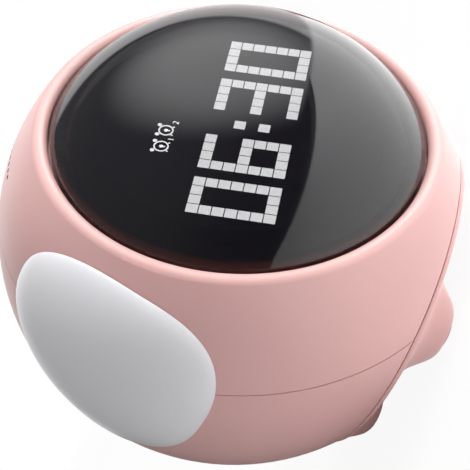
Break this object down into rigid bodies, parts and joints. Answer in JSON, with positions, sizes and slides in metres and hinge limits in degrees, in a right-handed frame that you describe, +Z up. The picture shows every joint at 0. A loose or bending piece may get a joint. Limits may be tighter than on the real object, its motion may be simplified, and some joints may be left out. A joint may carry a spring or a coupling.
{
  "type": "digital alarm clock",
  "caption": "Ball-shaped pink digital alarm clock on moulded feet, with a tilted domed pixel display, milky lamp ears, and push buttons and a charging inlet at the back.",
  "frame": {"origin": "on the resting plane of the foot pads, under the middle of the clock's width and depth", "axes": "+Z up, -Y out of the display towards the user, +X to the right of a person facing the display"},
  "size_m": [0.0896, 0.081, 0.0801],
  "materials": {
    "shell_pink": "fine satin, moulded",
    "button_pink": "satin, moulded",
    "milky_shade": "satin, milky white",
    "smoked_lens": "polished, see-through smoke tint",
    "black_plastic": "dull black",
    "circuit_board": "lacquered board",
    "grey_plastic": "dull grey",
    "white_lead": "soft sleeve",
    "pink_rubber": "soft and dull",
    "grey_rubber": "soft and dull",
    "bright_steel": "plated",
    "cell_wrap": "shrink wrap"
  },
  "bodies": {
    "clock": {"front_housing": "shell_pink", "rear_housing": "shell_pink", "base_cover": "shell_pink", "foot_pads": "pink_rubber", "base_screws": "bright_steel", "display_lens": "smoked_lens", "lens_gasket": "grey_rubber", "pixel_diffuser": "milky_shade", "pixel_baffle": "black_plastic", "led_board": "circuit_board", "display_screws": "bright_steel", "left_ear_shade": "milky_shade", "right_ear_shade": "milky_shade", "left_ear_lamp": "circuit_board", "right_ear_lamp": "circuit_board", "speaker_frame": "grey_plastic", "speaker_cone": "black_plastic", "speaker_magnet": "bright_steel", "speaker_bracket": "grey_plastic", "bracket_screws": "bright_steel", "main_board": "circuit_board", "board_screws": "bright_steel", "switch_bodies": "black_plastic", "usb_socket": "bright_steel", "usb_tongue": "black_plastic", "battery_pad": "grey_rubber", "battery_cell": "cell_wrap", "display_ribbon": "grey_plastic", "left_ear_lead": "white_lead", "right_ear_lead": "white_lead", "speaker_lead": "black_plastic", "battery_lead": "black_plastic"},
    "down_key": {"down_button": "button_pink", "down_plunger": "black_plastic"},
    "set_key": {"set_button": "button_pink", "set_plunger": "black_plastic"},
    "up_key": {"up_button": "button_pink", "up_plunger": "black_plastic"}
  },
  "joints": [
    {"name": "down_press", "type": "slide", "parent": "clock", "child": "down_key", "axis": [0, -1, 0], "range_m": [0, 0.0006], "stiffness_N_per_m": 800},
    {"name": "set_press", "type": "slide", "parent": "clock", "child": "set_key", "axis": [0, -1, 0], "range_m": [0, 0.0006], "stiffness_N_per_m": 800},
    {"name": "up_press", "type": "slide", "parent": "clock", "child": "up_key", "axis": [0, -1, 0], "range_m": [0, 0.0006], "stiffness_N_per_m": 800}
  ]
}
